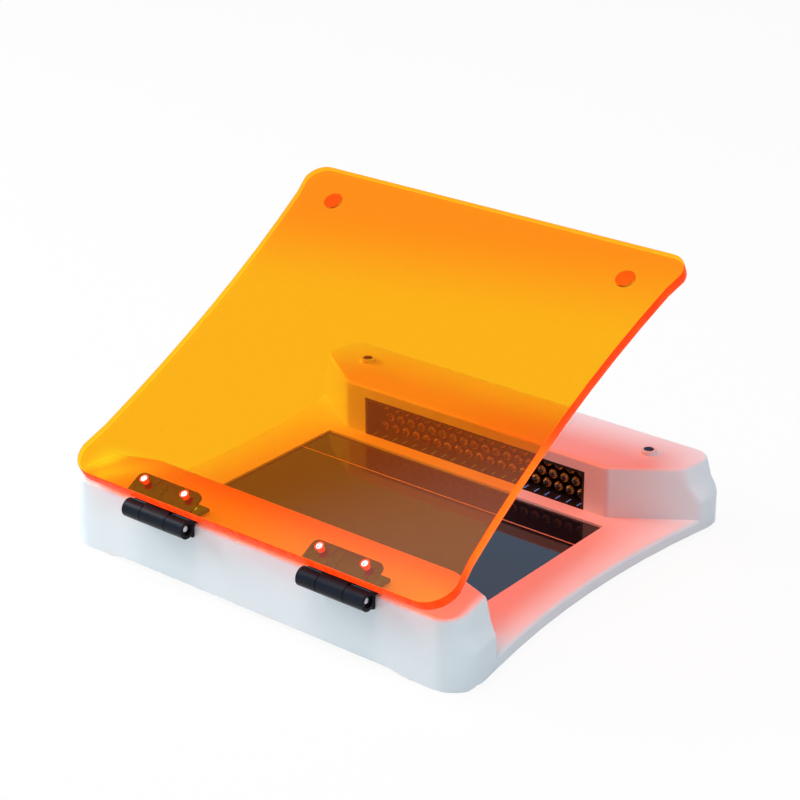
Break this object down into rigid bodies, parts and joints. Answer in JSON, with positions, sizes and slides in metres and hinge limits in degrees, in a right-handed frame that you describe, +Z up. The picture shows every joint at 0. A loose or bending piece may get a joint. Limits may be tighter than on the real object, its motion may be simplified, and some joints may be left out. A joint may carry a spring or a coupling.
{
  "type": "transilluminator",
  "caption": "Bench gel viewer: waisted white housing with a raised LED bar, a dark glass stage and a hinged amber filter cover.",
  "frame": {"origin": "middle of the floor rectangle that the whole object covers", "axes": "+Z up, +X along the hinges, +Y from the hinges towards the LED bar"},
  "size_m": [0.2246, 0.2138, 0.1361],
  "materials": {
    "white_shell": "fine satin moulding",
    "amber_acrylic": "clear polished amber acrylic",
    "dark_glass": "polished dark filter glass",
    "divider_rib": "satin",
    "black_polymer": "semi-gloss black moulding",
    "tray_black": "matt black",
    "foot_rubber": "matt rubber",
    "plate_sheet": "brushed sheet",
    "screw_steel": "bright plated",
    "magnet_black": "black coated magnet",
    "lamp_board": "circuit board with clear lamp lenses",
    "sink_aluminium": "mill finish extrusion",
    "driver_green": "lacquered circuit board",
    "strike_steel": "satin"
  },
  "bodies": {
    "base": {"base_leaf_left": "black_polymer", "base_leaf_right": "black_polymer", "bottom_plate": "plate_sheet", "driver_board": "driver_green", "driver_screw_left": "screw_steel", "driver_screw_right": "screw_steel", "foot_1": "foot_rubber", "foot_2": "foot_rubber", "foot_3": "foot_rubber", "foot_4": "foot_rubber", "glass_divider": "divider_rib", "heat_sink": "sink_aluminium", "hinge_pin_left": "screw_steel", "hinge_pin_right": "screw_steel", "housing_shell": "white_shell", "inlet_nut": "screw_steel", "latch_magnet_left": "magnet_black", "latch_magnet_right": "magnet_black", "leaf_screw_1": "screw_steel", "leaf_screw_2": "screw_steel", "leaf_screw_3": "screw_steel", "leaf_screw_4": "screw_steel", "led_board": "lamp_board", "led_tray": "tray_black", "plate_screw_1": "screw_steel", "plate_screw_2": "screw_steel", "plate_screw_3": "screw_steel", "plate_screw_4": "screw_steel", "plate_screw_5": "screw_steel", "plate_screw_6": "screw_steel", "power_inlet": "black_polymer", "rear_glass_strip": "dark_glass", "switch_frame": "black_polymer", "viewing_glass": "dark_glass"},
    "cover": {"amber_cover": "amber_acrylic", "cover_leaf_left": "black_polymer", "cover_leaf_right": "black_polymer", "cover_screw_1": "screw_steel", "cover_screw_2": "screw_steel", "cover_screw_3": "screw_steel", "cover_screw_4": "screw_steel", "cover_strike_left": "strike_steel", "cover_strike_right": "strike_steel"},
    "rocker": {"power_rocker": "black_polymer"}
  },
  "joints": [
    {"name": "cover_hinge", "type": "hinge", "parent": "base", "child": "cover", "pos_m": [0, -0.10259, 0.0316], "axis": [1, 0, 0], "range_deg": [-28.6, 81.4]},
    {"name": "power_rocker", "type": "hinge", "parent": "base", "child": "rocker", "pos_m": [-0.062, 0.10381, 0.01], "axis": [0, 0, 1], "range_deg": [-16, 0]}
  ]
}
